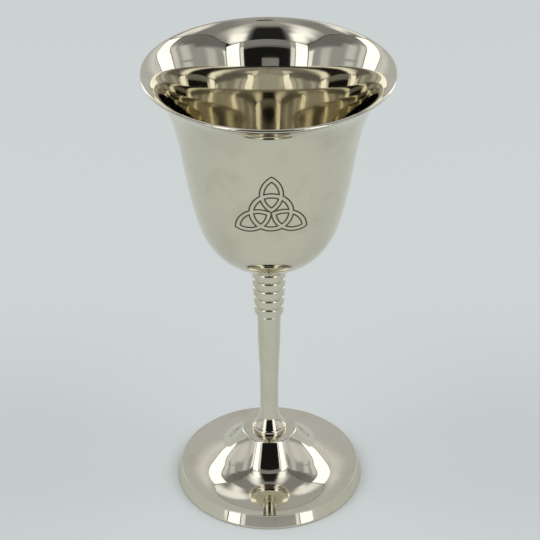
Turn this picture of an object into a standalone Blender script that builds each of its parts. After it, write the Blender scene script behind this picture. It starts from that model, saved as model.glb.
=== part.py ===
"""A stemmed goblet in polished nickel-plated brass.

A spun bowl is brazed to a small turned boss, whose stud screws into the top of a turned stem.
The stem stands on a bead collar, and a screw from below clamps the collar and the spun foot to it.
The origin is the middle of the foot's standing edge, with +Z up. Lengths are in metres.
"""

import math

import bpy
from mathutils import Vector
from mathutils.geometry import interpolate_bezier

MM = 0.001

# Sheet pieces: the bowl, from its lip down
BOWL_HEIGHT = 62.0 * MM
BOWL_WALL = 0.9 * MM
LIP_RADIUS = 35.4 * MM
LIP_LEAN = -63
THROAT_RADIUS = 28.15 * MM
THROAT_DROP = 10.55 * MM
THROAT_LEAN = -20.5
BELLY_RADIUS = 22.45 * MM
BELLY_HEIGHT = 23.7 * MM
BELLY_LEAN = -12
TURN_RADIUS = 18.15 * MM
TURN_HEIGHT = 9.6 * MM
TURN_LEAN = -29
BASE_CURVE_RADIUS = 25.9 * MM
BASE_REACH = 10.7 * MM
LIP_ROUNDING = 0.36 * MM

# Sheet pieces: the foot, from its flat top down and outwards
FOOT_RADIUS = 28.75 * MM
FOOT_HEIGHT = 17.1 * MM
FOOT_SHEET = 1.0 * MM
PLATEAU_RADIUS = 8.45 * MM
PLATEAU_ROUND = 0.6 * MM
SHOULDER_LEAN = 23
BELL_RADIUS = 12.3 * MM
BELL_HEIGHT = 10.6 * MM
BELL_LEAN = 39
SWEEP_RADIUS = 15.4 * MM
SWEEP_HEIGHT = 7.75 * MM
SWEEP_LEAN = 58
DISH_RADIUS = 19.85 * MM
DISH_HEIGHT = 5.65 * MM
DISH_LEAN = 71
BRIM_HEIGHT = 4.12 * MM
BRIM_IN = 1.5 * MM
BRIM_LEAN = 88
EDGE_ROLL = 0.25 * MM
EDGE_LEAN = 22
EDGE_FLAT = 0.5 * MM

# Turned pieces: the stem, from its rings down, and the boss above it
STEM_LENGTH = 56.4 * MM
TOP_RING_RADIUS = 5.07 * MM
RING_STEP_IN = 0.18 * MM
RING_GROOVE = 0.3 * MM
RING_SHOULDER = 0.55 * MM
RING_TAPER = 0.09 * MM
RING_LEANS = (75, 0, -12, -25, -70)
RING_DEPTHS = [depth * MM for depth in (0, 2.9, 5.9, 9.2, 12.4, 15.6)]
NECK_RADIUS = 3.5 * MM
SHANK_RADIUS = 3.4 * MM
SHANK_DROP = 6.0 * MM
WAIST_RADIUS = 2.82 * MM
WAIST_HEIGHT = 15.0 * MM
FLARE_START = 5.2 * MM
FLARE_RADIUS = 3.24 * MM
FLARE_HEIGHT = 2.9 * MM
FLARE_LEAN = 21
RIM_RADIUS = 4.8 * MM
RIM_HEIGHT = 0.2 * MM
RIM_LEAN = 38
BOSS_HEIGHT = 1.5 * MM
COLLAR_HEIGHT = 1.0 * MM
COLLAR_RADIUS = 5.4 * MM
COLLAR_TOP_RADIUS = 4.9 * MM
COLLAR_LEANS = (60, 8)

# Fasteners
STUD_RADIUS = 2.0 * MM
STUD_LENGTH = 7.0 * MM
SCREW_RADIUS = 1.5 * MM
SCREW_LENGTH = 10.0 * MM
SCREW_HEAD_RADIUS = 2.8 * MM
SCREW_HEAD_HEIGHT = 2.1 * MM
SCREW_SLOT_WIDTH = 0.8 * MM
SCREW_SLOT_DEPTH = 1.0 * MM
FLAT_WASHER_RADIUS = 5.0 * MM
FLAT_WASHER_THICKNESS = 0.8 * MM
LOCK_WASHER_RADIUS = 3.1 * MM
LOCK_WASHER_THICKNESS = 0.8 * MM
LOCK_WASHER_SPLIT = 0.6 * MM
TAP_DEPTH_SPARE = 0.8 * MM

# Clearance between pieces that touch, and between a thread and its hole
SEAT_GAP = 0.3 * MM

SHEET_STEPS = 52
STEM_STEPS = 28
FASTENER_STEPS = 24
MERGE_DISTANCE = 0.00001
SHARP_ANGLE = math.radians(35)


class Outline:
    """Half of a lathe section. It runs from the top down its outer side, and x is the radius.

    A lean is a direction of travel in degrees: 0 is straight down, 90 outwards, -90 inwards.
    """

    def __init__(self, radius, height):
        self.points = [Vector((radius, 0, height))]

    def line(self, radius, height):
        self.points.append(Vector((radius, 0, height)))

    def curve(self, radius, height, leave, arrive, pieces):
        """Adds a curve with the two leans at its ends. It is a true arc where an arc fits them."""
        start = self.points[-1]
        end = Vector((radius, 0, height))
        turn = math.radians(arrive - leave)
        reach = (end - start).length / (3 * math.cos(turn / 4) ** 2)
        first = start + reach * heading(leave)
        second = end - reach * heading(arrive)
        self.points += interpolate_bezier(start, first, second, end, pieces + 1)[1:]


def heading(lean):
    angle = math.radians(lean)
    return Vector((math.sin(angle), 0, -math.cos(angle)))


def inside(radius, height, lean, sheet):
    """The place one sheet thickness under a point of a sheet's outer side."""
    angle = math.radians(lean)
    return radius - sheet * math.cos(angle), height - sheet * math.sin(angle)


def metal(name, colour, roughness):
    material = bpy.data.materials.new(name)
    material.use_nodes = True
    shader = material.node_tree.nodes["Principled BSDF"]
    shader.inputs["Base Color"].default_value = (*colour, 1)
    shader.inputs["Metallic"].default_value = 1
    shader.inputs["Roughness"].default_value = roughness
    return material


def turned(name, outline, steps, material, ring=False):
    """An object turned from an outline. A ring's outline closes on itself, clear of the axis."""
    count = len(outline.points)
    edges = [(i, i + 1) for i in range(count - 1)]
    if ring:
        edges.append((count - 1, 0))
    mesh = bpy.data.meshes.new(name)
    mesh.from_pydata(outline.points, edges, [])
    piece = bpy.data.objects.new(name, mesh)
    bpy.context.scene.collection.objects.link(piece)
    screw = piece.modifiers.new("Turn", "SCREW")
    screw.axis = "Z"
    screw.angle = math.tau
    screw.steps = steps
    screw.render_steps = steps
    screw.use_merge_vertices = True
    screw.merge_threshold = MERGE_DISTANCE
    piece.data.materials.append(material)
    return piece


def cut(piece, name, size, place, turn=0):
    """Cuts a box out of a piece."""
    corners = [
        Vector((x * size[0], y * size[1], z * size[2])) / 2
        for x in (-1, 1)
        for y in (-1, 1)
        for z in (-1, 1)
    ]
    faces = [(0, 1, 3, 2), (4, 6, 7, 5), (0, 4, 5, 1), (2, 3, 7, 6), (0, 2, 6, 4), (1, 5, 7, 3)]
    mesh = bpy.data.meshes.new(name)
    mesh.from_pydata(corners, [], faces)
    cutter = bpy.data.objects.new(name, mesh)
    bpy.context.scene.collection.objects.link(cutter)
    cutter.parent = piece
    cutter.location = place
    cutter.rotation_euler = (turn, 0, 0)
    cutter.hide_render = True
    cutter.display_type = "WIRE"
    boolean = piece.modifiers.new(name, "BOOLEAN")
    boolean.operation = "DIFFERENCE"
    boolean.solver = "EXACT"
    boolean.object = cutter


def finish(piece, parent, height):
    """Sets a piece on its seat, makes its modifiers real and shades its round sides smooth."""
    piece.parent = parent
    piece.location = (0, 0, height)
    bpy.context.view_layer.update()
    evaluated = piece.evaluated_get(bpy.context.evaluated_depsgraph_get())
    piece.data = bpy.data.meshes.new_from_object(evaluated)
    piece.modifiers.clear()
    piece.data.shade_smooth()
    piece.data.set_sharp_from_angle(angle=SHARP_ANGLE)


def add_ring(outline, radius, top, bottom, next_groove):
    """One rounded ring of the stem: full at its shoulder, and drawn in towards its lower groove."""
    crown, side, drawn, turning, seam = RING_LEANS
    outline.curve(radius, top - RING_SHOULDER, crown, side, 3)
    outline.curve(radius - RING_TAPER, bottom + RING_SHOULDER, side, drawn, 2)
    outline.curve(next_groove, bottom, turning, seam, 2)


def base_curve(radius, gap):
    """Height of the bowl's round base at a radius, or of a surface the gap below it."""
    reach = BASE_CURVE_RADIUS + gap
    return BASE_CURVE_RADIUS - math.sqrt(reach**2 - radius**2)


def make_bowl(material):
    """The spun cup: a round base, a nearly straight body and a wide rolled-out lip."""
    lip_height = BOWL_HEIGHT + BOWL_WALL * math.sin(math.radians(LIP_LEAN))
    base_lean = -90 + math.degrees(math.asin(BASE_REACH / BASE_CURVE_RADIUS))
    outline = Outline(LIP_RADIUS, lip_height)
    outline.curve(THROAT_RADIUS, BOWL_HEIGHT - THROAT_DROP, LIP_LEAN, THROAT_LEAN, 6)
    outline.curve(BELLY_RADIUS, BELLY_HEIGHT, THROAT_LEAN, BELLY_LEAN, 5)
    outline.curve(TURN_RADIUS, TURN_HEIGHT, BELLY_LEAN, TURN_LEAN, 4)
    outline.curve(BASE_REACH, base_curve(BASE_REACH, 0), TURN_LEAN, base_lean, 3)
    outline.curve(0, 0, base_lean, -90, 4)
    bowl = turned("bowl", outline, SHEET_STEPS, material)
    shell = bowl.modifiers.new("Sheet", "SOLIDIFY")
    shell.thickness = BOWL_WALL
    shell.offset = -1
    shell.use_even_offset = True
    rounding = bowl.modifiers.new("Lip", "BEVEL")
    rounding.width = LIP_ROUNDING
    rounding.segments = 2
    rounding.limit_method = "ANGLE"
    rounding.angle_limit = math.radians(60)
    return bowl


def make_boss(material):
    """The turned boss under the bowl: a ring like the stem's, with a stud below it."""
    ring_radius = TOP_RING_RADIUS + RING_STEP_IN
    groove = ring_radius - RING_GROOVE
    seat_lean = 90 + math.degrees(math.asin(groove / (BASE_CURVE_RADIUS + SEAT_GAP)))
    seat_edge = BOSS_HEIGHT + base_curve(groove, SEAT_GAP) + SEAT_GAP
    outline = Outline(0, BOSS_HEIGHT)
    outline.curve(groove, seat_edge, 90, seat_lean, 3)
    add_ring(outline, ring_radius, seat_edge, 0, TOP_RING_RADIUS - RING_GROOVE)
    outline.line(STUD_RADIUS, 0)
    outline.line(STUD_RADIUS, -STUD_LENGTH)
    outline.line(0, -STUD_LENGTH)
    return turned("bowl_boss", outline, STEM_STEPS, material)


def make_stem(material):
    """The turned stem: five rings at the top, a long tapered neck and a flare at the foot."""
    tap_radius = STUD_RADIUS + SEAT_GAP
    tap_floor = STEM_LENGTH - STUD_LENGTH - TAP_DEPTH_SPARE
    seams = [STEM_LENGTH - depth for depth in RING_DEPTHS]
    radii = [TOP_RING_RADIUS - RING_STEP_IN * i for i in range(len(seams) - 1)] + [NECK_RADIUS]
    outline = Outline(0, tap_floor)
    outline.line(tap_radius, tap_floor)
    outline.line(tap_radius, STEM_LENGTH)
    outline.line(radii[0] - RING_GROOVE, STEM_LENGTH)
    for i in range(len(seams) - 1):
        add_ring(outline, radii[i], seams[i], seams[i + 1], radii[i + 1] - RING_GROOVE)
    outline.curve(NECK_RADIUS, seams[-1] - RING_SHOULDER, RING_LEANS[0], 0, 3)
    outline.curve(SHANK_RADIUS, seams[-1] - SHANK_DROP, 0, 0, 2)
    outline.curve(WAIST_RADIUS, WAIST_HEIGHT, 0, 0, 6)
    outline.line(WAIST_RADIUS, FLARE_START)
    outline.curve(FLARE_RADIUS, FLARE_HEIGHT, 0, FLARE_LEAN, 3)
    outline.curve(RIM_RADIUS, RIM_HEIGHT, FLARE_LEAN, RIM_LEAN, 3)
    outline.line(RIM_RADIUS, 0)
    screw_tap_radius = SCREW_RADIUS + SEAT_GAP
    screw_tap_end = screw_reach() + TAP_DEPTH_SPARE
    outline.line(screw_tap_radius, 0)
    outline.line(screw_tap_radius, screw_tap_end)
    outline.line(0, screw_tap_end)
    return turned("stem", outline, STEM_STEPS, material)


def make_collar(material):
    """The low round bead that seats the stem on the foot."""
    hole = SCREW_RADIUS + SEAT_GAP
    outline = Outline(hole, COLLAR_HEIGHT)
    outline.line(COLLAR_TOP_RADIUS, COLLAR_HEIGHT)
    outline.curve(COLLAR_RADIUS, 0, *COLLAR_LEANS, 5)
    outline.line(hole, 0)
    return turned("base_collar", outline, STEM_STEPS, material, ring=True)


def make_foot(material):
    """The spun foot: a flat top, a bell that sweeps out into a dish, and an edge turned down."""
    hole = SCREW_RADIUS + SEAT_GAP
    shoulder_angle = math.radians(SHOULDER_LEAN)
    shoulder_start = PLATEAU_RADIUS - PLATEAU_ROUND * math.cos(shoulder_angle)
    shoulder_height = FOOT_HEIGHT - PLATEAU_ROUND * (1 - math.sin(shoulder_angle))
    brim_radius = FOOT_RADIUS - BRIM_IN
    edge_top = BRIM_HEIGHT - EDGE_ROLL
    edge_radius = FOOT_RADIUS - (edge_top - EDGE_FLAT) * math.tan(math.radians(EDGE_LEAN))
    outline = Outline(hole, FOOT_HEIGHT)
    outline.line(shoulder_start, FOOT_HEIGHT)
    outline.curve(PLATEAU_RADIUS, shoulder_height, 90, SHOULDER_LEAN, 3)
    outline.curve(BELL_RADIUS, BELL_HEIGHT, SHOULDER_LEAN, BELL_LEAN, 4)
    outline.curve(SWEEP_RADIUS, SWEEP_HEIGHT, BELL_LEAN, SWEEP_LEAN, 3)
    outline.curve(DISH_RADIUS, DISH_HEIGHT, SWEEP_LEAN, DISH_LEAN, 3)
    outline.curve(brim_radius, BRIM_HEIGHT, DISH_LEAN, BRIM_LEAN, 4)
    outline.curve(edge_radius, edge_top, BRIM_LEAN, EDGE_LEAN, 3)
    outline.line(FOOT_RADIUS, EDGE_FLAT)
    outline.line(FOOT_RADIUS, 0)

    ceiling = FOOT_HEIGHT - FOOT_SHEET
    under_dish = inside(DISH_RADIUS, DISH_HEIGHT, DISH_LEAN, FOOT_SHEET)
    under_sweep = inside(SWEEP_RADIUS, SWEEP_HEIGHT, SWEEP_LEAN, FOOT_SHEET)
    under_bell = inside(BELL_RADIUS, BELL_HEIGHT, BELL_LEAN, FOOT_SHEET)
    under_shoulder = inside(PLATEAU_RADIUS, shoulder_height, SHOULDER_LEAN, FOOT_SHEET)
    corner = under_shoulder[0] + (under_shoulder[1] - ceiling) * math.tan(shoulder_angle)
    outline.line(FOOT_RADIUS - FOOT_SHEET, 0)
    outline.line(edge_radius - FOOT_SHEET, BRIM_HEIGHT - FOOT_SHEET)
    outline.curve(*under_dish, BRIM_LEAN - 180, DISH_LEAN - 180, 4)
    outline.curve(*under_sweep, DISH_LEAN - 180, SWEEP_LEAN - 180, 3)
    outline.curve(*under_bell, SWEEP_LEAN - 180, BELL_LEAN - 180, 3)
    outline.curve(corner, ceiling, BELL_LEAN - 180, SHOULDER_LEAN - 180, 4)
    outline.line(hole, ceiling)
    return turned("foot", outline, SHEET_STEPS, material, ring=True)


def make_washer(name, radius, thickness, material):
    hole = SCREW_RADIUS + SEAT_GAP
    outline = Outline(hole, thickness)
    outline.line(radius, thickness)
    outline.line(radius, 0)
    outline.line(hole, 0)
    return turned(name, outline, FASTENER_STEPS, material, ring=True)


def make_screw(material):
    """A slotted pan-head screw, seen from its head's underside up to its tip."""
    outline = Outline(0, SCREW_LENGTH)
    outline.line(0.75 * SCREW_RADIUS, SCREW_LENGTH)
    outline.line(SCREW_RADIUS, SCREW_LENGTH - 0.5 * SCREW_RADIUS)
    outline.line(SCREW_RADIUS, 0)
    outline.line(SCREW_HEAD_RADIUS, 0)
    outline.line(SCREW_HEAD_RADIUS, -0.4 * SCREW_HEAD_HEIGHT)
    outline.curve(0.5 * SCREW_HEAD_RADIUS, -SCREW_HEAD_HEIGHT, -8, -80, 3)
    outline.line(0, -SCREW_HEAD_HEIGHT)
    screw = turned("foot_screw", outline, FASTENER_STEPS, material)
    cut(
        screw,
        "slot_cutter",
        (3 * SCREW_HEAD_RADIUS, SCREW_SLOT_WIDTH, 2 * SCREW_SLOT_DEPTH),
        (0, 0, -SCREW_HEAD_HEIGHT),
    )
    return screw


def screw_head_height():
    """World height of the underside of the screw's head."""
    return (
        FOOT_HEIGHT - FOOT_SHEET - FLAT_WASHER_THICKNESS - LOCK_WASHER_THICKNESS - 3 * SEAT_GAP
    )


def screw_reach():
    """How far the screw's tip stands above the stem's lower end."""
    return screw_head_height() + SCREW_LENGTH - stem_height()


def stem_height():
    return FOOT_HEIGHT + COLLAR_HEIGHT + 2 * SEAT_GAP


def main():
    for old in list(bpy.data.objects):
        bpy.data.objects.remove(old)
    goblet = bpy.data.objects.new("goblet", None)
    bpy.context.scene.collection.objects.link(goblet)

    plate = (0.71, 0.665, 0.54)
    steel = (0.56, 0.57, 0.58)
    bowl = make_bowl(metal("bowl_nickel_plate", plate, 0.05))
    boss = make_boss(metal("boss_nickel_plate", plate, 0.06))
    stem = make_stem(metal("stem_nickel_plate", plate, 0.06))
    collar = make_collar(metal("collar_nickel_plate", plate, 0.06))
    foot = make_foot(metal("foot_nickel_plate", plate, 0.05))
    flat_washer = make_washer(
        "flat_washer", FLAT_WASHER_RADIUS, FLAT_WASHER_THICKNESS, metal("flat_washer_zinc", steel, 0.3)
    )
    lock_washer = make_washer(
        "lock_washer", LOCK_WASHER_RADIUS, LOCK_WASHER_THICKNESS, metal("lock_washer_steel", steel, 0.35)
    )
    cut(
        lock_washer,
        "split_cutter",
        (2 * LOCK_WASHER_RADIUS, LOCK_WASHER_SPLIT, 4 * LOCK_WASHER_THICKNESS),
        (LOCK_WASHER_RADIUS, 0, LOCK_WASHER_THICKNESS / 2),
        turn=math.radians(25),
    )
    screw = make_screw(metal("screw_zinc", steel, 0.3))

    boss_height = stem_height() + STEM_LENGTH + SEAT_GAP
    lock_height = screw_head_height() + SEAT_GAP
    flat_height = lock_height + LOCK_WASHER_THICKNESS + SEAT_GAP
    finish(foot, goblet, 0)
    finish(collar, goblet, FOOT_HEIGHT + SEAT_GAP)
    finish(stem, goblet, stem_height())
    finish(boss, goblet, boss_height)
    finish(bowl, goblet, boss_height + BOSS_HEIGHT + SEAT_GAP)
    finish(flat_washer, goblet, flat_height)
    finish(lock_washer, goblet, lock_height)
    finish(screw, goblet, screw_head_height())


main()
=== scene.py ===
# %% [markdown]
# # A polished goblet, spun and turned
# This lesson dresses a goblet whose pieces already exist as plain solids. The solids carry the
# sizes, and the cells below make each real piece again with the smooth surface that a polisher
# leaves. Mirror metal shows every flat facet, so each piece is spun anew from its own outline.

import math

import bpy
from mathutils import Matrix, Vector


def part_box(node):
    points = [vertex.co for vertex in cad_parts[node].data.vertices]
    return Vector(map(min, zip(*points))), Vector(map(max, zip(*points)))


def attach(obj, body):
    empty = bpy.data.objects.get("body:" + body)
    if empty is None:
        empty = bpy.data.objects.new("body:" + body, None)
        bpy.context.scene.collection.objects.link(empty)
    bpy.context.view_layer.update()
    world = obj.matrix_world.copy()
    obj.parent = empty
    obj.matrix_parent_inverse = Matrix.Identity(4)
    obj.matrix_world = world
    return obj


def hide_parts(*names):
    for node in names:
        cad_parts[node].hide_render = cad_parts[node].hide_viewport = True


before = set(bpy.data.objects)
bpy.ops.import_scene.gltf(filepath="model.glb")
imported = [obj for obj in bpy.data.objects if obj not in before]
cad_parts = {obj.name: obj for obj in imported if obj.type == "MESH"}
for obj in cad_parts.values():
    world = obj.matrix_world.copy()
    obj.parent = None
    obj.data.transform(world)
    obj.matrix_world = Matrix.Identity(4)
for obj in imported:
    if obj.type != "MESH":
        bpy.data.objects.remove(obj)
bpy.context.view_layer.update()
MM = 0.001
print("solids:", ", ".join(sorted(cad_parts)))

# %% [markdown]
# ## Outlines
# Everything here is round, so the shape of a piece is its outline, as a spinner's template is. A
# Bezier curve suits that better than a long list of points, because it needs a handle only where
# the outline changes its bend. Each step below is a straight line to a point, or a curve to it with
# the directions it leaves and arrives in. A direction is a lean from straight down, in degrees:
# 90 points outwards and -90 inwards.

# %% Draw an outline as a Bezier curve
def heading(lean):
    angle = math.radians(lean)
    return Vector((math.sin(angle), 0, -math.cos(angle)))


def handles(start, end, leave, arrive):
    """Handle places for a curve between two points. They make a true arc where an arc fits."""
    if leave is None:
        return start.lerp(end, 1 / 3), start.lerp(end, 2 / 3)
    turn = math.radians(arrive - leave)
    reach = (end - start).length / (3 * math.cos(turn / 4) ** 2)
    return start + reach * heading(leave), end - reach * heading(arrive)


def draw_outline(name, start, steps, resolution):
    """A line of vertices. Each step is (radius, height), or (radius, height, leave, arrive)."""
    bpy.ops.object.select_all(action="DESELECT")
    bpy.ops.curve.primitive_bezier_curve_add(location=(0, 0, 0))
    drawn = bpy.context.object
    drawn.name = name
    drawn.data.resolution_u = resolution
    knots = drawn.data.splines[0].bezier_points
    knots.add(len(steps) - 1)
    places = [Vector((r, 0, z)) for r, z in [start] + [step[:2] for step in steps]]
    for knot, place in zip(knots, places):
        knot.handle_left_type = knot.handle_right_type = "FREE"
        knot.co = knot.handle_left = knot.handle_right = place
    for i, step in enumerate(steps):
        leave, arrive = step[2:] or (None, None)
        ends = handles(places[i], places[i + 1], leave, arrive)
        knots[i].handle_right, knots[i + 1].handle_left = ends
    bpy.ops.object.convert(target="MESH")
    return bpy.context.object


# %% [markdown]
# ## Spinning
# A disc of brass is pressed over a former while both turn, and a bar is cut while it turns. The
# spin operator does the same to an outline. The seam and the poles are merged afterwards, because
# a mirror finish would show even a hairline there.

# %% Spin an outline about the goblet's axis
FACET_ANGLE = math.radians(35)
MERGE = 0.001 * MM


def spin_outline(name, start, steps, resolution, turns):
    piece = draw_outline(name, start, steps, resolution)
    bpy.ops.object.mode_set(mode="EDIT")
    bpy.ops.mesh.select_all(action="SELECT")
    bpy.ops.mesh.spin(steps=turns, angle=math.tau, center=(0, 0, 0), axis=(0, 0, 1))
    bpy.ops.mesh.select_all(action="SELECT")
    bpy.ops.mesh.remove_doubles(threshold=MERGE)
    bpy.ops.mesh.normals_make_consistent(inside=False)
    bpy.ops.object.mode_set(mode="OBJECT")
    bpy.ops.object.shade_smooth_by_angle(angle=FACET_ANGLE)
    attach(piece, "root")
    print(name, len(piece.data.polygons), "faces")
    return piece


# %% [markdown]
# ## The bowl
# The cup is one disc of brass, spun until it has a round base, a nearly straight body and a lip
# that rolls well outwards. The stations are where that outline changes its bend. The inner side is
# the same run, one sheet thickness in, so the wall is even, as a spun wall is. A half circle closes
# the lip, because a drinking edge is rounded and polished.

# %% Helpers for a sheet's two sides
def inside(radius, height, lean, sheet):
    """The place one sheet thickness under a point of a sheet's outer side."""
    angle = math.radians(lean)
    return radius - sheet * math.cos(angle), height - sheet * math.sin(angle)


def way(stations):
    """Steps of a smooth run through (radius, height, lean) stations."""
    return [(b[0], b[1], a[2], b[2]) for a, b in zip(stations, stations[1:])]


def under(stations, sheet):
    """The stations one sheet thickness inside, from the last back to the first."""
    return [(*inside(*station, sheet), station[2] + 180) for station in reversed(stations)]


# %% Spin the bowl
BOWL_WALL = 0.9 * MM
LIP_RADIUS = 35.25 * MM
LIP_LEAN = -63
LIP_TOP = 139.0 * MM
BASE_BALL = 25.9 * MM
BASE_REACH = 10.7 * MM
SHEET_TURNS = 256

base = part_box("bowl")[0].z
base_lean = math.degrees(math.asin(BASE_REACH / BASE_BALL)) - 90
base_rise = BASE_BALL - math.sqrt(BASE_BALL**2 - BASE_REACH**2)
lip_middle = Vector((LIP_RADIUS - BOWL_WALL / 2, 0, LIP_TOP - BOWL_WALL / 2))
lip_start = lip_middle + BOWL_WALL / 2 * heading(LIP_LEAN + 90)
lip_crown = lip_middle + BOWL_WALL / 2 * heading(LIP_LEAN + 180)
# Stations from the lip down: radius, height and lean.
bowl_side = [
    (lip_start.x, lip_start.z, LIP_LEAN),
    (28.15 * MM, LIP_TOP - 10.4 * MM, -20.5),
    (22.45 * MM, base + 23.7 * MM, -12),
    (18.15 * MM, base + 9.6 * MM, -29),
    (BASE_REACH, base + base_rise, base_lean),
    (0, base, -90),
]
bowl_inside = under(bowl_side, BOWL_WALL)
lip = [
    (lip_crown.x, lip_crown.z, LIP_LEAN + 180, LIP_LEAN + 90),
    (lip_start.x, lip_start.z, LIP_LEAN + 90, LIP_LEAN),
]
bowl_steps = way(bowl_inside) + lip + way(bowl_side)
bowl_start = bowl_inside[0][:2]
bowl = spin_outline("spun_bowl", bowl_start, bowl_steps, resolution=20, turns=SHEET_TURNS)
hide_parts("bowl")

# %% [markdown]
# ## The foot
# The foot is a second spinning: a flat top for the stem to stand on, a bell that sweeps out into
# a shallow dish, and a low wall that leans outwards, where the sheet is turned down to the table.
# It is hollow below. The top's edge is a tight arc, which is the bright ring round it.

# %% Spin the foot
FOOT_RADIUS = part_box("foot")[1].x
FOOT_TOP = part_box("foot")[1].z
FOOT_SHEET = 1.0 * MM
SCREW_HOLE = 1.8 * MM
PLATEAU_RADIUS = 8.45 * MM
PLATEAU_ROUND = 0.6 * MM
SHOULDER_LEAN = 23
BRIM_HEIGHT = 4.12 * MM
BRIM_IN = 1.5 * MM
EDGE_ROLL = 0.25 * MM
EDGE_LEAN = 22
EDGE_ROUND = 0.25 * MM

shoulder_angle = math.radians(SHOULDER_LEAN)
plateau_flat = PLATEAU_RADIUS - PLATEAU_ROUND * math.cos(shoulder_angle)
# Stations from the flat top's edge out to the brim: radius, height and lean.
foot_side = [
    (PLATEAU_RADIUS, FOOT_TOP - PLATEAU_ROUND * (1 - math.sin(shoulder_angle)), SHOULDER_LEAN),
    (12.3 * MM, 10.6 * MM, 39),
    (15.4 * MM, 7.75 * MM, 58),
    (19.85 * MM, 5.65 * MM, 71),
    (FOOT_RADIUS - BRIM_IN, BRIM_HEIGHT, 88),
]
foot_under = under(foot_side, FOOT_SHEET)
wall = FOOT_RADIUS - FOOT_SHEET
wall_rise = BRIM_HEIGHT - EDGE_ROLL
wall_top = FOOT_RADIUS - (wall_rise - 2 * EDGE_ROUND) * math.tan(math.radians(EDGE_LEAN))
edge = [
    (wall_top, wall_rise, 88, EDGE_LEAN),
    (FOOT_RADIUS, 2 * EDGE_ROUND),
    (FOOT_RADIUS - EDGE_ROUND, 0, 0, -90),
    (wall + EDGE_ROUND, 0),
    (wall, EDGE_ROUND, -90, -180),
    (wall_top - FOOT_SHEET, BRIM_HEIGHT - FOOT_SHEET),
]
foot_under[0] = (*edge[-1], foot_under[0][2])
ceiling = FOOT_TOP - FOOT_SHEET
corner = foot_under[-1][0] + (foot_under[-1][1] - ceiling) * math.tan(shoulder_angle)
foot_start = (SCREW_HOLE, FOOT_TOP)
foot_steps = [(plateau_flat, FOOT_TOP), (*foot_side[0][:2], 90, SHOULDER_LEAN)]
foot_steps += way(foot_side) + edge + way(foot_under[:-1])
foot_steps += [
    (corner, ceiling, foot_under[-2][2], foot_under[-1][2]),
    (SCREW_HOLE, ceiling),
    foot_start,
]
foot = spin_outline("spun_foot", foot_start, foot_steps, resolution=12, turns=SHEET_TURNS)
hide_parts("foot")

# %% [markdown]
# ## The stem and its rings
# The stem is a bar turned in a lathe. Rings are the easiest thing to turn: the tool goes in at a
# nearly even pitch, and each ring keeps a full shoulder and tapers into the next groove. The lowest
# one runs out into a long tapered neck, and the flare at its end gives the stem its seat. Both ends
# are tapped, and a tapped hole runs on a little past the thread that goes into it.

# %% Turn the stem
TURNS = 192
STUD_RADIUS = 2.0 * MM
STUD_LENGTH = 7.0 * MM
SCREW_RADIUS = 1.5 * MM
THREAD_GAP = 0.3 * MM
TAP_RUN = 0.8 * MM
RING_DEPTHS = [d * MM for d in (0, 2.9, 5.9, 9.2, 12.4, 15.6)]
RING_SHOULDER = 0.55 * MM
RING_GROOVE = 0.3 * MM
RING_TAPER = 0.3 * RING_GROOVE
TOP_RING = 5.07 * MM
RING_STEP_IN = 0.18 * MM
NECK = 3.5 * MM
SHANK = 3.4 * MM
SHANK_DROP = 6 * MM
WAIST = 2.82 * MM
WAIST_HIGH = 15 * MM
WAIST_LOW = 5.2 * MM
FLARE_BEND = 3.24 * MM
FLARE_BEND_HEIGHT = 2.9 * MM
FLARE = 4.8 * MM
FLARE_EDGE = 0.2 * MM

stem_low, stem_high = (corner.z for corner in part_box("stem"))
grooves = [stem_high - depth for depth in RING_DEPTHS]
rings = [TOP_RING - RING_STEP_IN * i for i in range(len(grooves) - 1)] + [NECK]
screw_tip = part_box("foot_screw")[1].z


def ring(radius, top, bottom, next_groove):
    """One ring, from the groove above it: a full shoulder, a slight taper, and the groove below."""
    return [
        (radius, top - RING_SHOULDER, 75, 0),
        (radius - RING_TAPER, bottom + RING_SHOULDER, 0, -12),
        (next_groove, bottom, -25, -70),
    ]


stem_steps = [(STUD_RADIUS + THREAD_GAP, stem_high), (rings[0] - RING_GROOVE, stem_high)]
for i, top in enumerate(grooves[:-1]):
    stem_steps += ring(rings[i], top, grooves[i + 1], rings[i + 1] - RING_GROOVE)
stem_steps += [
    (NECK, grooves[-1] - RING_SHOULDER, 75, 0),
    (SHANK, grooves[-1] - SHANK_DROP, 0, 0),
    (WAIST, stem_low + WAIST_HIGH, 0, 0),
    (WAIST, stem_low + WAIST_LOW),
    (FLARE_BEND, stem_low + FLARE_BEND_HEIGHT, 0, 21),
    (FLARE, stem_low + FLARE_EDGE, 21, 38),
    (FLARE, stem_low),
    (SCREW_RADIUS + THREAD_GAP, stem_low),
    (SCREW_RADIUS + THREAD_GAP, screw_tip + TAP_RUN),
    (0, screw_tip + TAP_RUN),
]
tap_floor = stem_high - STUD_LENGTH - TAP_RUN
stem_steps = [(STUD_RADIUS + THREAD_GAP, tap_floor)] + stem_steps
stem = spin_outline("turned_stem", (0, tap_floor), stem_steps, resolution=8, turns=TURNS)
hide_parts("stem")

# %% [markdown]
# ## The boss and the collar
# The boss looks like the stem's uppermost ring, but it is a piece of its own: it is brazed under
# the bowl, and its stud screws into the stem. The collar is a low rounded ring that hides the joint
# between the stem and the foot. Both are drawn to meet their neighbours with no gap.

# %% Turn the boss and the collar
boss_ring = TOP_RING + RING_STEP_IN
boss_groove = boss_ring - RING_GROOVE
boss_top = base + BASE_BALL - math.sqrt(BASE_BALL**2 - boss_groove**2)
boss_steps = [
    (boss_groove, boss_top, 90, 101),
    *ring(boss_ring, boss_top, stem_high, rings[0] - RING_GROOVE),
    (STUD_RADIUS, stem_high),
    (STUD_RADIUS, stem_high - STUD_LENGTH),
    (0, stem_high - STUD_LENGTH),
]
boss = spin_outline("brazed_boss", (0, base), boss_steps, resolution=8, turns=TURNS)
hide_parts("bowl_boss")

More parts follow.
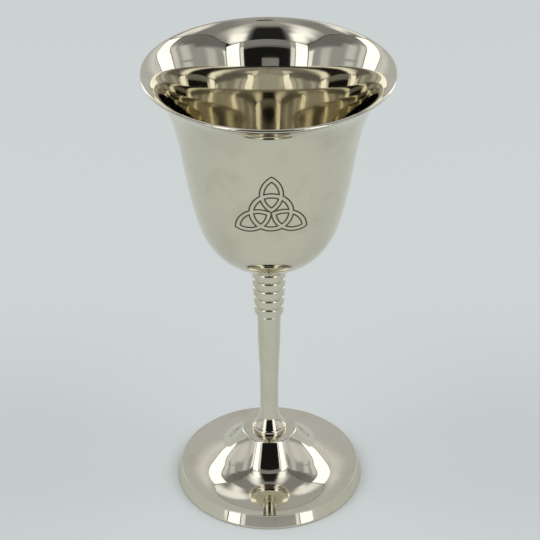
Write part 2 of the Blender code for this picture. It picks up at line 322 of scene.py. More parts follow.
COLLAR_TOP = 4.9 * MM
COLLAR_RADIUS = 5.4 * MM
collar_hole = SCREW_RADIUS + THREAD_GAP
collar_start = (collar_hole, stem_low)
collar_steps = [
    (COLLAR_TOP, stem_low),
    (COLLAR_RADIUS, FOOT_TOP, 60, 8),
    (collar_hole, FOOT_TOP),
    collar_start,
]
collar = spin_outline("bead_collar", collar_start, collar_steps, resolution=12, turns=TURNS)
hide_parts("base_collar")

# %% [markdown]
# ## The screw and its washers
# Under the foot one slotted screw draws the whole goblet together. It is bought, not made: a steel
# screw with a rolled thread and a domed head, a plain washer that spreads its load over the thin
# sheet, and a split spring washer that keeps it from turning loose. The thread is a ridge wound
# round the shank with the Screw modifier. The spring washer is nearly one turn of square wire, and
# is wound the same way.

# %% Wind a section into a spring or a thread
FASTENER_TURNS = 64


def wind(name, section, rise, angle=360, turns=1):
    """Sweeps a closed section round the axis while it climbs, and closes both ends."""
    piece = draw_outline(name, section[0], section[1:], resolution=2)
    bpy.ops.object.mode_set(mode="EDIT")
    bpy.ops.mesh.select_all(action="SELECT")
    bpy.ops.mesh.remove_doubles(threshold=MERGE)
    bpy.ops.object.mode_set(mode="OBJECT")
    coil = piece.modifiers.new("coil", "SCREW")
    coil.angle = math.radians(angle)
    coil.screw_offset = rise
    coil.iterations = turns
    coil.steps = coil.render_steps = FASTENER_TURNS
    bpy.ops.object.modifier_apply(modifier="coil")
    bpy.ops.object.mode_set(mode="EDIT")
    bpy.ops.mesh.select_all(action="SELECT")
    bpy.ops.mesh.fill_holes(sides=0)
    bpy.ops.mesh.select_all(action="SELECT")
    bpy.ops.mesh.normals_make_consistent(inside=False)
    bpy.ops.object.mode_set(mode="OBJECT")
    return piece


def combine(piece, tool, how):
    """A Boolean that uses the tool up. How is UNION or DIFFERENCE."""
    step = piece.modifiers.new("combine", "BOOLEAN")
    step.operation = how
    step.solver = "EXACT"
    step.material_mode = "TRANSFER"
    step.object = tool
    bpy.ops.object.select_all(action="DESELECT")
    bpy.context.view_layer.objects.active = piece
    piece.select_set(True)
    bpy.ops.object.modifier_apply(modifier="combine")
    bpy.data.objects.remove(tool)
    return piece


# %% Cut the washers
washer_low, washer_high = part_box("flat_washer")
washer_top = ceiling
washer_hole = 1.7 * MM
BREAK = 0.1 * MM
washer_steps = [
    (washer_high.x - BREAK, washer_top),
    (washer_high.x, washer_top - BREAK),
    (washer_high.x, washer_low.z + 2 * BREAK),
    (washer_high.x - 2 * BREAK, washer_low.z, 0, -90),
    (washer_hole + BREAK, washer_low.z),
    (washer_hole, washer_low.z + BREAK),
    (washer_hole, washer_top),
]
washer_start = washer_steps[-1]
flat_washer = spin_outline("plain_washer", washer_start, washer_steps, resolution=4, turns=TURNS)
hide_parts("flat_washer")

spring_low, spring_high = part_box("lock_washer")
SPRING_RISE = 0.3 * MM
SPRING_ANGLE = 346
spring_top = washer_low.z - SPRING_RISE
spring_section = [
    (washer_hole + BREAK, spring_top),
    (spring_high.x - BREAK, spring_top),
    (spring_high.x, spring_top - BREAK),
    (spring_high.x, spring_low.z + BREAK),
    (spring_high.x - BREAK, spring_low.z),
    (washer_hole + BREAK, spring_low.z),
    (washer_hole, spring_low.z + BREAK),
    (washer_hole, spring_top - BREAK),
    (washer_hole + BREAK, spring_top),
]
lock_washer = wind("spring_washer", spring_section, SPRING_RISE, SPRING_ANGLE)
bpy.ops.object.shade_smooth_by_angle(angle=FACET_ANGLE)
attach(lock_washer, "root")
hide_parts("lock_washer")
print("washers", len(flat_washer.data.polygons), "and", len(lock_washer.data.polygons), "faces")

# %% Turn the screw, roll its thread and saw its slot
screw_low, screw_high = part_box("foot_screw")
HEAD_HEIGHT = 2.1 * MM
HEAD_SIDE = 0.6 * HEAD_HEIGHT
PITCH = 0.5 * MM
THREAD_DEPTH = 0.25 * MM
THREAD_BURY = 0.1 * MM
THREAD_START = 2 * MM
SLOT_WIDTH = 0.8 * MM
SLOT_DEPTH = 1.0 * MM

head_radius = screw_high.x
head_crown = 0.5 * head_radius
core = SCREW_RADIUS - THREAD_DEPTH
tip_radius = 0.6 * core
tip_taper = 0.5 * core
screw_steps = [
    (tip_radius, screw_tip),
    (core, screw_tip - tip_taper),
    (core, spring_low.z),
    (head_radius - BREAK, spring_low.z),
    (head_radius, spring_low.z - BREAK, 90, 0),
    (head_radius, screw_low.z + HEAD_SIDE),
    (head_crown, screw_low.z, -8, -80),
    (0, screw_low.z, -80, -90),
]
screw_start = (0, screw_tip)
screw = spin_outline("slotted_screw", screw_start, screw_steps, resolution=8, turns=FASTENER_TURNS)

# The ridge's section as radius and share of the pitch: a root, a flank, a flat crest, a flank.
thread_low = stem_low - THREAD_START
thread_turns = int((screw_tip - core - thread_low) / PITCH)
root = core - THREAD_BURY
ridge = [(root, 0), (root, 0.95), (core, 0.85), (SCREW_RADIUS, 0.55)]
ridge += [(SCREW_RADIUS, 0.4), (core, 0.1), (root, 0)]
thread_section = [(radius, thread_low + share * PITCH) for radius, share in ridge]
thread = wind("rolled_thread", thread_section, PITCH, turns=thread_turns)
combine(screw, thread, "UNION")

bpy.ops.object.select_all(action="DESELECT")
bpy.ops.mesh.primitive_cube_add(size=1, location=(0, 0, screw_low.z))
saw = bpy.context.object
saw.scale = (3 * head_radius, SLOT_WIDTH, 2 * SLOT_DEPTH)
bpy.ops.object.transform_apply()
combine(screw, saw, "DIFFERENCE")
bpy.ops.object.shade_smooth_by_angle(angle=FACET_ANGLE)
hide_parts("foot_screw")
print("screw:", thread_turns, "turns of thread,", len(screw.data.polygons), "faces")

# %% [markdown]
# ## The camera
# The camera looks down at the goblet by about 32 degrees, from half a metre away through a long
# lens. The aim and the roll are tiny corrections, because no camera stands exactly straight.

# %% Place the camera
CAMERA_PLACE = Vector((0, -446.4, 357.5)) * MM
CAMERA_AIM = Vector((0.31, 0, 74.3)) * MM
CAMERA_ROLL = math.radians(-0.11)
CAMERA_LENS = 120.5
CAMERA_CLIP = 10

bpy.ops.object.camera_add(location=CAMERA_PLACE)
camera = bpy.context.object
camera.data.lens = CAMERA_LENS
camera.data.clip_end = CAMERA_CLIP
facing = (CAMERA_AIM - CAMERA_PLACE).to_track_quat("-Z", "Y")
camera.rotation_euler = (facing.to_matrix() @ Matrix.Rotation(CAMERA_ROLL, 3, "Z")).to_euler()
bpy.context.scene.camera = camera
print("camera:", round((CAMERA_AIM - CAMERA_PLACE).length / MM), "mm from its aim")

# %% [markdown]
# ## The finish
# Nickel plate over brass is almost a mirror. It is warmer than chrome, because nickel reflects less
# blue than red, and each further bounce inside the bowl makes it more golden. What keeps it from
# looking like a drawing is the buffing: very fine rings that follow the turning, a slow unevenness
# of the sheet, and a faint haze where hands and cloths have been. Real buffing lines are far finer
# than a picture can show, so they are drawn a third of a millimetre apart, and hardly any deeper.

# %% Colours, and one helper for nodes
def rgb(code):
    """An sRGB hex colour as linear numbers."""
    parts = [int(code[i : i + 2], 16) / 255 for i in (1, 3, 5)]
    return [c / 12.92 if c <= 0.04045 else ((c + 0.055) / 1.055) ** 2.4 for c in parts]


def add_node(tree, kind, sockets=(), **settings):
    """Adds a node. Sockets are (input, value or output to link), and the rest are its settings."""
    node = tree.nodes.new("ShaderNode" + kind)
    for name, value in settings.items():
        setattr(node, name, value)
    for key, value in sockets:
        if isinstance(value, bpy.types.NodeSocket):
            tree.links.new(value, node.inputs[key])
        else:
            node.inputs[key].default_value = value
    return node


# %% Nickel plate, buffed and used
NICKEL = "#DBD5C2"
NICKEL_HAZE = "#CFC8B4"
BUFF_SPACING = 0.35 * MM
SHEET_WAVE = 14 * MM
HAZE_SIZE = 9 * MM
HAZE_FROM, HAZE_TO = 0.5, 0.8
BUFF_FROM, BUFF_TO = 0.3, 0.8
HAZE_DULLS = 1.5
BUFF_DULLS = 1.6


def turned_place(tree):
    """Places on the piece, and as a turner sees them: distance from the axis, and height."""
    place = add_node(tree, "TexCoord").outputs["Object"]
    parts = add_node(tree, "SeparateXYZ", [(0, place)]).outputs
    flat = add_node(tree, "CombineXYZ", [(0, parts["X"]), (1, parts["Y"])]).outputs[0]
    reach = add_node(tree, "VectorMath", [(0, flat)], operation="LENGTH").outputs["Value"]
    return place, add_node(tree, "CombineXYZ", [(0, reach), (2, parts["Z"])]).outputs[0]


def nickel_plate(name, roughness, rings, wave):
    """Polished nickel. Rings and wave are the depths of the buffing and the sheet's unevenness."""
    material = bpy.data.materials.new(name)
    material.use_nodes = True
    tree = material.node_tree
    shader = tree.nodes["Principled BSDF"]
    place, turned = turned_place(tree)
    haze = [("Vector", place), ("Scale", 1 / HAZE_SIZE), ("Detail", 4), ("Roughness", 0.6)]
    haze = add_node(tree, "TexNoise", haze).outputs[0]
    haze = [(0, haze), (1, HAZE_FROM), (2, HAZE_TO), (3, 0), (4, 1)]
    haze = add_node(tree, "MapRange", haze).outputs[0]
    colours = [(0, haze), ("A", (*rgb(NICKEL), 1)), ("B", (*rgb(NICKEL_HAZE), 1))]
    colour = add_node(tree, "Mix", colours, data_type="RGBA").outputs["Result"]
    buff = [("Vector", turned), ("Scale", 1 / BUFF_SPACING), ("Detail", 2)]
    buff = add_node(tree, "TexNoise", buff).outputs[0]
    rough = [(0, buff), (1, BUFF_FROM), (2, BUFF_TO), (3, roughness), (4, BUFF_DULLS * roughness)]
    rough = add_node(tree, "MapRange", rough).outputs[0]
    rough = [(0, haze), (1, HAZE_DULLS * roughness), (2, rough)]
    rough = add_node(tree, "Math", rough, operation="MULTIPLY_ADD").outputs[0]
    slow = [("Vector", place), ("Scale", 1 / SHEET_WAVE), ("Detail", 0)]
    slow = add_node(tree, "TexNoise", slow).outputs[0]
    bump = [("Height", slow), ("Strength", 1), ("Distance", wave)]
    bump = add_node(tree, "Bump", bump).outputs[0]
    bump = [("Height", buff), ("Strength", 1), ("Distance", rings), ("Normal", bump)]
    bump = add_node(tree, "Bump", bump).outputs[0]
    tree.links.new(colour, shader.inputs["Base Color"])
    tree.links.new(rough, shader.inputs["Roughness"])
    tree.links.new(bump, shader.inputs["Normal"])
    shader.inputs["Metallic"].default_value = 1
    return material


spun = nickel_plate("nickel_plate_spun", roughness=0.035, rings=0.0001 * MM, wave=0.02 * MM)
cut = nickel_plate("nickel_plate_turned", roughness=0.045, rings=0.0003 * MM, wave=0)
for piece, finish in ((bowl, spun), (foot, spun), (stem, cut), (boss, cut), (collar, cut)):
    piece.data.materials.append(finish)
    print(piece.name, "has", finish.name)

# %% Zinc on the screw and the washers
ZINC = "#C3C6C8"
ZINC_DULL = "#A9AAA6"
ZINC_GRAIN = 0.7 * MM
ZINC_CLOUD = ZINC_GRAIN / 0.4
ZINC_LINES = ZINC_GRAIN / 2
DULL_FROM, DULL_TO = 0.4, 0.7
DULL_ROUGH = 1.5
DING_DEPTH = 0.002 * MM
LINE_DEPTH = 0.003 * MM


def zinc_plate(name, roughness):
    """Bright zinc over steel, tumbled in a barrel: satin, mottled, with small dings."""
    material = bpy.data.materials.new(name)
    material.use_nodes = True
    tree = material.node_tree
    shader = tree.nodes["Principled BSDF"]
    place, turned = turned_place(tree)
    grain = [("Vector", place), ("Scale", 1 / ZINC_GRAIN)]
    grain = add_node(tree, "TexVoronoi", grain).outputs["Distance"]
    dull = [("Vector", place), ("Scale", 1 / ZINC_CLOUD), ("Detail", 5)]
    dull = add_node(tree, "TexNoise", dull).outputs[0]
    dull = [(0, dull), (1, DULL_FROM), (2, DULL_TO), (3, 0), (4, 1)]
    dull = add_node(tree, "MapRange", dull).outputs[0]
    colours = [(0, dull), ("A", (*rgb(ZINC), 1)), ("B", (*rgb(ZINC_DULL), 1))]
    colour = add_node(tree, "Mix", colours, data_type="RGBA").outputs["Result"]
    rough = [(0, dull), (1, 0), (2, 1), (3, roughness), (4, DULL_ROUGH * roughness)]
    rough = add_node(tree, "MapRange", rough).outputs[0]
    lines = [("Vector", turned), ("Scale", 1 / ZINC_LINES), ("Detail", 2)]
    lines = add_node(tree, "TexNoise", lines).outputs[0]
    bump = [("Height", grain), ("Strength", 1), ("Distance", DING_DEPTH)]
    bump = add_node(tree, "Bump", bump).outputs[0]
    bump = [("Height", lines), ("Strength", 1), ("Distance", LINE_DEPTH), ("Normal", bump)]
    bump = add_node(tree, "Bump", bump).outputs[0]
    tree.links.new(colour, shader.inputs["Base Color"])
    tree.links.new(rough, shader.inputs["Roughness"])
    tree.links.new(bump, shader.inputs["Normal"])
    shader.inputs["Metallic"].default_value = 1
    return material


zinc = zinc_plate("zinc_plate_tumbled", roughness=0.28)
for piece in (flat_washer, lock_washer, screw):
    piece.data.materials.clear()
    piece.data.materials.append(zinc)
    print(piece.name, "has", zinc.name)

# %% The floor of the engraved line
# The cut is left as the tool made it, with fine tool marks. Its dull brown is painted shade in the
# groove.
GROOVE_SHADE = "#7C6C50"
GROOVE_SHADE_DEEP = "#5A4B34"
TOOL_MARK = 0.15 * MM
TOOL_DEPTH = 0.01 * MM
GROOVE_METAL = 0.6
GROOVE_ROUGH = 0.55

engraved = bpy.data.materials.new("engraved_painted_shade")
engraved.use_nodes = True
tree = engraved.node_tree
shader = tree.nodes["Principled BSDF"]
place = add_node(tree, "TexCoord").outputs["Object"]
mark = [("Vector", place), ("Scale", 1 / TOOL_MARK), ("Detail", 3)]
mark = add_node(tree, "TexNoise", mark).outputs[0]
colours = [(0, mark), ("A", (*rgb(GROOVE_SHADE_DEEP), 1)), ("B", (*rgb(GROOVE_SHADE), 1))]
colour = add_node(tree, "Mix", colours, data_type="RGBA").outputs["Result"]
bump = [("Height", mark), ("Strength", 1), ("Distance", TOOL_DEPTH)]
bump = add_node(tree, "Bump", bump).outputs[0]
tree.links.new(colour, shader.inputs["Base Color"])
tree.links.new(bump, shader.inputs["Normal"])
shader.inputs["Metallic"].default_value = GROOVE_METAL
shader.inputs["Roughness"].default_value = GROOVE_ROUGH
print("for the line:", engraved.name)

# %% [markdown]
# ## The engraving
# The knot on the bowl is a traditional one: three pointed leaves woven through a ring. An engraver
# draws only the edges of its bands, as one even line cut into the plate. Every edge is an arc of a
# circle, so the line is set out with compasses: each outline below is a few circles, and the
# places where one gives way to the next. It is drawn once a little wide and once a little narrow,
# and the strip between is laid on the bowl, given a depth and cut out. So it is a real groove with
# a dark floor.

# %% Set out the knot with compasses
LINE = 0.44 * MM
# A leaf is its middle's distance from the knot's, its half length and its half width.
LEAF_OUTER = (5.79 * MM, 5.79 * MM, 3.3 * MM)
LEAF_INNER = (5.73 * MM, 4.17 * MM, 2.1 * MM)
RING_OUTER = (0, 0, 6.15 * MM)
RING_INNER = (0, 0, 4.8 * MM)
OUTLINE_STEPS = 16


def turned_by(x, z, third):
    angle = math.tau * third / 3
    cosine, sine = math.cos(angle), math.sin(angle)
    return Vector((x * cosine - z * sine, x * sine + z * cosine))


def leaf_side(size, side, third):
    """The circle of a leaf's left (-1) or right (1) edge: its middle and its radius."""
    middle, length, width = size
    bend = (length**2 + width**2) / (2 * width)
    return (*turned_by(side * (width - bend), middle, third), bend)


def meet(first, second, near):
    """Where two circles cross, nearest to a place."""
    gap = Vector(second[:2]) - Vector(first[:2])
    along = (gap.length_squared + first[2] ** 2 - second[2] ** 2) / (2 * gap.length)
    off = math.sqrt(first[2] ** 2 - along**2)
    between = Vector(first[:2]) + along * gap.normalized()
    side = off * gap.normalized().orthogonal()
    return min((between + side, between - side), key=lambda place: (place - near).length)


def arc_step(circle, start, end):
    """The step of an outline that follows a circle from one place to another, the short way."""
    arm, last = start - Vector(circle[:2]), end - Vector(circle[:2])
    sweep = math.atan2(arm.x * last.y - arm.y * last.x, arm.dot(last))
    way_on = arm.orthogonal() * math.copysign(1, sweep)
    leave = math.degrees(math.atan2(way_on.x, -way_on.y))
    return (*end, leave, leave + math.degrees(sweep))


# %% Draw a strip one line wide
def strip(name, curves, corners, closed=True):
    """Curves are (circle, growth). Corners, in millimetres, are near where each meets the next."""
    edges = []
    for grow in (LINE / 2, -LINE / 2):
        circles = [(x, z, radius + growth * grow) for (x, z, radius), growth in curves]
        nexts = circles[1:] + circles[:1] if closed else circles[1:]
        places = [meet(*pair, Vector(near) * MM) for *pair, near in zip(circles, nexts, corners)]
        if closed:
            places.append(places[0])
        steps = [arc_step(*arc) for arc in zip(nexts, places, places[1:])]
        edges.append(draw_outline(name, places[0], steps, OUTLINE_STEPS))
    bpy.ops.object.select_all(action="DESELECT")
    for edge_line in edges:
        edge_line.select_set(True)
    bpy.context.view_layer.objects.active = edges[0]
    bpy.ops.object.join()
    bpy.ops.object.mode_set(mode="EDIT")
    bpy.ops.mesh.select_all(action="SELECT")
    bpy.ops.mesh.remove_doubles(threshold=MERGE)
    bpy.ops.mesh.bridge_edge_loops()
    bpy.ops.mesh.select_all(action="SELECT")
    bpy.ops.mesh.normals_make_consistent(inside=False)
    bpy.ops.object.mode_set(mode="OBJECT")
    if edges[0].data.polygons[0].normal.y > 0:
        edges[0].data.flip_normals()
    return edges[0]


# %% Draw the strips of the knot
# The corner places are rough. Each only tells which of two crossings of its circles is meant.
outline_curves, outline_corners, cells, ring_arcs, points = [], [], [], [], []
for i in range(3):
    left, right = leaf_side(LEAF_OUTER, -1, i), leaf_side(LEAF_OUTER, 1, i)
    after = leaf_side(LEAF_OUTER, 1, i + 1)
    in_left, in_right = leaf_side(LEAF_INNER, -1, i), leaf_side(LEAF_INNER, 1, i)
    outline_curves += [(right, 1), (left, 1), (RING_OUTER, 1)]
    outline_corners += [turned_by(0, 11.6, i), turned_by(-3.3, 5.2, i), turned_by(3.3, 5.2, i + 1)]
    tip, tail = turned_by(0, 9.9, i), turned_by(0, 1.6, i)
    outside = [turned_by(2 * side, 5.8, i) for side in (-1, 1)]
    within = [turned_by(1.9 * side, 4.4, i) for side in (-1, 1)]
    cells.append(strip("cell", [(in_right, 1), (in_left, 1), (RING_OUTER, -1)], [tip, *outside]))
    cells.append(strip("cell", [(in_right, 1), (in_left, 1), (RING_INNER, 1)], [tail, *within]))
    crossing = [turned_by(3 * side, 3.8, i) for side in (-1, 1)]
    next_crossing = turned_by(3, 3.8, i + 1)
    stop = ((0, 0, RING_INNER[2] + LINE / 2), 0)
    point_curves = [stop, (left, 1), (right, 1), stop]
    points.append(strip("point", point_curves, [crossing[0], (0, 0), crossing[1]], closed=False))
    stops = [((*circle[:2], circle[2] - LINE / 2), 0) for circle in (left, after)]
    arc_curves = [stops[0], (RING_INNER, 1), stops[1]]
    ring_arcs.append(strip("arc", arc_curves, [crossing[0], next_crossing], closed=False))
cells.append(strip("outline", outline_curves, outline_corners))
print("strips:", len(cells), "closed and", len(points + ring_arcs), "open")

# %% Lay the strips on the bowl and cut them
KNOT_STRETCH = 1.07
KNOT_HEIGHT = 107.74 * MM
KNOT_RADIUS = 23.7 * MM
KNOT_LEAN = math.radians(12.5)
KNOT_ANGLE = math.radians(1.68)
CUT_DEPTH = 0.12 * MM
CUTTER_HEIGHT = 4 * CUT_DEPTH


def lay(strips):
    """Joins flat strips, wraps them round the bowl and makes them a cutter of even depth."""
    bpy.ops.object.select_all(action="DESELECT")
    for piece in strips:
        piece.select_set(True)
    bpy.context.view_layer.objects.active = strips[0]
    bpy.ops.object.join()
    cutter = strips[0]
    for point in cutter.data.vertices:
        rise = KNOT_STRETCH * point.co.z * math.cos(KNOT_LEAN)
        reach = KNOT_RADIUS + rise * math.tan(KNOT_LEAN)
        turn = KNOT_ANGLE + point.co.x / reach
        point.co = (reach * math.sin(turn), -reach * math.cos(turn), KNOT_HEIGHT + rise)
    on_bowl = cutter.modifiers.new("lay", "SHRINKWRAP")
    on_bowl.target = bowl
    on_bowl.wrap_mode = "ABOVE_SURFACE"
    on_bowl.offset = -CUT_DEPTH
    bpy.ops.object.modifier_apply(modifier="lay")
    deepen = cutter.modifiers.new("deepen", "SOLIDIFY")
    deepen.thickness = CUTTER_HEIGHT
    deepen.offset = 1
    bpy.ops.object.modifier_apply(modifier="deepen")
    bpy.ops.object.mode_set(mode="EDIT")
    bpy.ops.mesh.select_all(action="SELECT")
    bpy.ops.mesh.normals_make_consistent(inside=False)
    bpy.ops.object.mode_set(mode="OBJECT")
    # The cutter's faces become the groove's floor and walls, and carry the painted shade of the
    # line.
    cutter.data.materials.append(engraved)
    return cutter


# The copy keeps the smooth shading that the cuts would disturb on the mirror around them.
smooth_bowl = bowl.copy()
smooth_bowl.data = bowl.data.copy()
bpy.context.collection.objects.link(smooth_bowl)
cutters = [lay(group) for group in (cells, ring_arcs, *([point] for point in points))]
for cutter in cutters:
    combine(bowl, cutter, "DIFFERENCE")
polish = bowl.modifiers.new("polish", "DATA_TRANSFER")
polish.object = smooth_bowl
polish.use_loop_data = True
polish.data_types_loops = {"CUSTOM_NORMAL"}
polish.loop_mapping = "POLYINTERP_NEAREST"
bpy.ops.object.modifier_apply(modifier="polish")
bpy.data.objects.remove(smooth_bowl)
print("engraved bowl:", len(bowl.data.polygons), "faces,", [m.name for m in bowl.data.materials])

# %% [markdown]
# ## The light tent
# A mirror has no look of its own, so what stands round it matters as much as its shape. Polished
# ware is shown in a tent of white cloth with an opening for the lens. The opening is the black
# shape in the bowl and the foot, and the bright strips beside it are lit panels. The walls here
# are only there for reflections: the camera doesn't see them, and they light and shade nothing.

# %% A tent wall with soft patches
TENT_WHITE = rgb("#F7FAFF")


def tent_wall(name, corners, axes, base, patches=()):
    """A glowing wall, in millimetres. A patch is (u range, v range, edge softness, brightness)."""
    mesh = bpy.data.meshes.new(name)
    mesh.from_pydata([Vector(corner) * MM for corner in corners], [], [range(len(corners))])
    wall = bpy.data.objects.new(name, mesh)
    bpy.context.scene.collection.objects.link(wall)
    material = bpy.data.materials.new(name)
    material.use_nodes = True
    tree = material.node_tree
    tree.nodes.clear()
    place = add_node(tree, "TexCoord").outputs["Object"]
    place = add_node(tree, "SeparateXYZ", [(0, place)]).outputs
    flat = axes(tree, place)
    brightness = base
    for u, v, soft, level in patches:
        middle = ((u[0] + u[1]) / 2, (v[0] + v[1]) / 2, 0)
        half = ((u[1] - u[0]) / 2, (v[1] - v[0]) / 2, 0)
        off = [(0, flat), (1, middle)]
        off = add_node(tree, "VectorMath", off, operation="SUBTRACT").outputs[0]
        off = add_node(tree, "VectorMath", [(0, off)], operation="ABSOLUTE").outputs[0]
        inner, outer = ([h + way_off * soft / 2 for h in half] for way_off in (-1, 1))
        mask = [("Vector", off), (7, inner), (8, outer), (9, (1, 1, 1)), (10, (0, 0, 0))]
        kinds = {"data_type": "FLOAT_VECTOR", "interpolation_type": "SMOOTHSTEP"}
        mask = add_node(tree, "MapRange", mask, **kinds).outputs["Vector"]
        parts = add_node(tree, "SeparateXYZ", [(0, mask)]).outputs
        mask = [(0, parts[0]), (1, parts[1])]
        mask = add_node(tree, "Math", mask, operation="MULTIPLY").outputs[0]
        brightness = add_node(tree, "Mix", [(0, mask), (2, brightness), (3, level)]).outputs[0]
    glow = [("Color", (*TENT_WHITE, 1)), ("Strength", brightness)]
    glow = add_node(tree, "Emission", glow)
    add_node(tree, "OutputMaterial", [("Surface", glow.outputs[0])])
    material.cycles.emission_sampling = "NONE"
    wall.data.materials.append(material)
    wall.visible_camera = wall.visible_diffuse = wall.visible_shadow = False
    print(name, len(patches), "patches")


# %% Places on the walls
LEAN_FROM = 240 * MM
LEAN_TO = 480 * MM
LEAN_BACK = 65 * MM


def in_units(tree, u, v, units):
    """Two values joined to one vector, and scaled."""
    both = add_node(tree, "CombineXYZ", [(0, u), (1, v)]).outputs[0]
    scaled = [(0, both), ("Scale", units)]
    return add_node(tree, "VectorMath", scaled, operation="SCALE").outputs[0]


def across(tree, place):
    """Places on a wall that faces the front, or on the roof, in millimetres."""
    return in_units(tree, place["X"], place["Z"], 1 / MM)


def along(tree, place):
    """Places on a side wall, whose cloth leans back above the height of the goblet."""
    lean = [("Value", place["Z"]), (1, LEAN_FROM), (2, LEAN_TO), (3, 0), (4, LEAN_BACK)]
    lean = add_node(tree, "MapRange", lean, interpolation_type="SMOOTHSTEP").outputs[0]
    back = add_node(tree, "Math", [(0, place["Y"]), (1, lean)], operation="SUBTRACT").outputs[0]
    return in_units(tree, back, place["Z"], 1 / MM)


def around(tree, place):
    """Degrees from the front, and degrees above the lip, as the goblet sees the roof."""
    front = add_node(tree, "Math", [(0, place["Y"]), (1, -1)], operation="MULTIPLY").outputs[0]
    turn = add_node(tree, "Math", [(0, place["X"]), (1, front)], operation="ARCTAN2").outputs[0]
    flat = add_node(tree, "CombineXYZ", [(0, place["X"]), (1, place["Y"])]).outputs[0]
    reach = add_node(tree, "VectorMath", [(0, flat)], operation="LENGTH").outputs["Value"]
    rise = add_node(tree, "Math", [(0, place["Z"]), (1, LIP_TOP)], operation="SUBTRACT").outputs[0]
    climb = add_node(tree, "Math", [(0, rise), (1, reach)], operation="ARCTAN2").outputs[0]
    return in_units(tree, turn, climb, math.degrees(1))


# %% Patches of light and shade on the walls
# Front and back walls are told by x and height, side walls by y and height, and the roof by
# degrees round from the front and degrees up from the lip. LIT is a lamp behind the cloth, and
# LENS_SHADE the dark round the lens, which the lip mirrors.
LIT = 1.8
LENS_SHADE = 0.02
front_left = [
    ((-330, -201), (-20, 405), 6, LIT),
    ((-201, -193), (-20, 405), 3, 0.25),
    ((-192, -160), (-20, 325), 6, 1.05),
]
front_right = [
    ((178, 206), (-20, 335), 6, 1.1),
    ((207, 215), (-20, 405), 3, 0.25),
    ((216, 368), (-20, 405), 6, LIT),
]
front_band = [((-400, 400), (height, height + 5), 4, 0.14) for height in (334, 360, 386)]
front_band += [((-400, 400), (290, 325), 24, 0.14)]
side_wall = [
    ((-400, 178), (-60, 165), 70, 0.8),
    ((-330, -250), (-20, 320), 16, 1.25),
    ((-170, -95), (-20, 325), 50, 0.68),
    ((25, 95), (-20, 400), 45, 0.75),
    ((125, 180), (-20, 440), 40, 0.85),
    ((-90, 110), (214, 230), 16, 0.42),
    ((-400, -20), (345, 900), 50, 0.2),
    ((-60, 60), (405, 900), 50, 0.2),
    ((0, 120), (450, 900), 50, 0.22),
    ((60, 190), (505, 900), 50, 0.25),
    ((178, 186), (-20, 900), 4, 0.2),
    ((187, 362), (-20, 900), 5, LIT),
    ((363, 372), (-20, 900), 4, 0.25),
    ((376, 600), (-20, 900), 6, 0.8),
    ((-250, 178), (-60, 28), 40, 0.4),
]
back_sheet = [
    ((-320, -220), (-20, 600), 120, 0.85),
    ((220, 320), (-20, 600), 120, 0.85),
]
roof = [
    ((-180, 180), (77, 95), 12, 0.42),
    ((-180, -140), (30, 80), 20, 0.5),
    ((140, 180), (30, 80), 20, 0.5),
    ((-152, -139), (35, 66), 8, 1.15),
    ((128, 141), (35, 66), 8, 1.1),
    ((-150, -120), (55, 64), 9, 1.2),
    ((118, 141), (55, 64), 9, 1.15),
    ((-74, -46), (55, 77), 22, 1.15),
    ((-60, -36), (44, 66), 16, 1.4),
    ((-47, -29), (34, 54), 10, 1.6),
    ((40, 64), (52, 77), 24, 0.85),
    ((31, 53), (44, 68), 16, 1.15),
    ((28, 48), (34, 54), 10, 1.5),
    ((-24, 24), (35, 72), 12, LENS_SHADE),
]

# %% Put up the tent
HALF = 320
SEAM = 8
ROOF_LINE = [(-320, 416), (-210, 440), (-90, 540), (30, 597), (230, 622), (430, 680)]
BACK = ROOF_LINE[-1][0]
BACK_TOP = ROOF_LINE[-1][1] - SEAM
FRONT_ENDS = (-332, 370)
OPENING = (-156, 177)
SILL = 28
BAND = (309, 412)
SHADE_TOP = 190
WALL_TOP = 408
SIDE_TOP = 421
ROOF_HOLE = (11, 27, 594)
HOLE_RADIUS = 28
HOLE_SIDES = 24
OUTSIDE = 1200
DARK = 0.012


def upright(left, right, depth, low, high):
    """Corners of a wall that faces the front."""
    return [(left, depth, low), (right, depth, low), (right, depth, high), (left, depth, high)]


left_wall = upright(FRONT_ENDS[0], OPENING[0], -HALF, 0, WALL_TOP)
right_wall = upright(OPENING[1], FRONT_ENDS[1], -HALF, 0, WALL_TOP)
front_top = upright(*OPENING, -HALF, *BAND)
back_wall = upright(-HALF, HALF, BACK, 0, BACK_TOP)
tent_wall("tent_front_left", left_wall, across, base=0.55, patches=front_left)
tent_wall("tent_front_right", right_wall, across, base=0.55, patches=front_right)
tent_wall("tent_front_sill", upright(*OPENING, -HALF, 0, SILL), across, base=0.42)
tent_wall("tent_front_band", front_top, across, base=0.3, patches=front_band)
tent_wall("tent_front_shade", upright(*OPENING, -HALF - 2, SILL, SHADE_TOP), across, base=DARK)
tent_wall("tent_back", back_wall, across, base=0.6, patches=back_sheet)
tent_wall("seam_back", upright(-HALF, HALF, BACK + 1, 600, 700), across, base=0.04)
for name, side, front in (("left", -1, -297), ("right", 1, -264)):
    line = [(front, SIDE_TOP)] + [(y, z) for y, z in ROOF_LINE if y > front]
    wall = [(side * HALF, BACK, 0), (side * HALF, front, 0)]
    wall += [(side * HALF, y, z - SEAM) for y, z in line]
    seam = [(side * (HALF + 1), y, z - 2 * SEAM) for y, z in line]
    seam += [(side * (HALF + 1), y, z + SEAM) for y, z in reversed(line)]
    tent_wall("tent_" + name, wall, along, base=0.42, patches=side_wall)
    tent_wall("seam_" + name, seam, across, base=0.03)
for i, (front, back) in enumerate(zip(ROOF_LINE, ROOF_LINE[1:])):
    reach = HALF - SEAM
    corners = [(-reach, *front), (reach, *front), (reach, *back), (-reach, *back)]
    tent_wall(f"tent_roof_{i + 1}", corners, around, base=0.3, patches=roof)
hole_x, hole_y, hole_z = ROOF_HOLE
turns = [math.tau * i / HOLE_SIDES for i in range(HOLE_SIDES)]
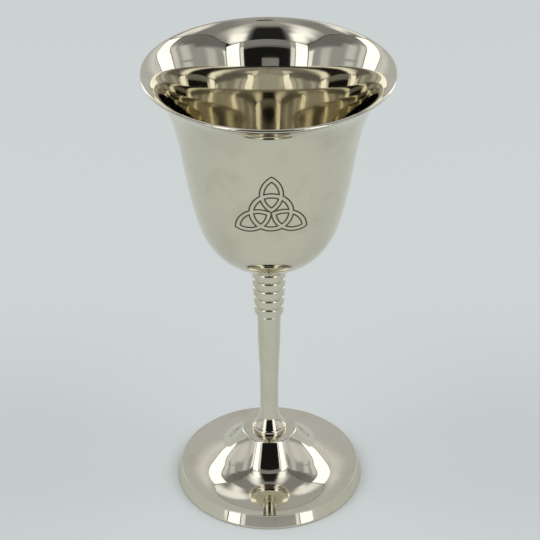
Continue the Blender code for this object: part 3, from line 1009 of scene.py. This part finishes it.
hole = [
    (hole_x + HOLE_RADIUS * math.cos(turn), hole_y + HOLE_RADIUS * math.sin(turn), hole_z)
    for turn in turns
]
tent_wall("roof_hole", hole, across, base=0.01)
room = [((-215, 130), (305, 432), 25, 0.28)]
outside_wall = upright(-OUTSIDE, OUTSIDE, -1000, 0, OUTSIDE)
tent_wall("tent_outside", outside_wall, across, base=DARK, patches=room)

# %% [markdown]
# ## The floor and the lamps
# The floor is a plain pale sheet. Two large soft lamps light it from both sides, so the goblet
# throws only a faint shadow, and the world behind it has the same pale colour, at a strength that
# shows the colour as it is written.

# %% Lay the floor
PALE = "#CCD0D0"
FLOOR_SIZE = 6

bpy.ops.object.select_all(action="DESELECT")
bpy.ops.mesh.primitive_plane_add(size=FLOOR_SIZE)
floor = bpy.context.object
floor.name = "floor"
paper = bpy.data.materials.new("matt_paper")
paper.use_nodes = True
shader = paper.node_tree.nodes["Principled BSDF"]
shader.inputs["Base Color"].default_value = (*rgb(PALE), 1)
shader.inputs["Roughness"].default_value = 1
shader.inputs["Specular IOR Level"].default_value = 0
floor.data.materials.append(paper)
print("floor:", FLOOR_SIZE, "m across,", paper.name)

# %% Hang the lamps
LAMP_HEIGHT = 1.2
LAMP_SIDE = 0.9
LAMP_FRONT = 0.1
LAMP_SIZE = 1.0
LAMP_POWER = 7

for side in (-1, 1):
    place = (side * LAMP_SIDE, -LAMP_FRONT, LAMP_HEIGHT)
    bpy.ops.object.light_add(type="AREA", location=place)
    lamp = bpy.context.object
    lamp.data.size = LAMP_SIZE
    lamp.data.energy = LAMP_POWER
    lamp.rotation_euler = (-lamp.location).to_track_quat("-Z", "Y").to_euler()
    lamp.visible_glossy = False
    print("lamp:", LAMP_POWER, "W,", LAMP_SIZE, "m wide")

world = bpy.data.worlds.new("pale_room")
bpy.context.scene.world = world
world.use_nodes = True
sky = world.node_tree.nodes["Background"]
sky.inputs["Color"].default_value = (*rgb(PALE), 1)
sky.inputs["Strength"].default_value = 1

# %% Finish
bpy.context.scene.view_settings.view_transform = "Standard"
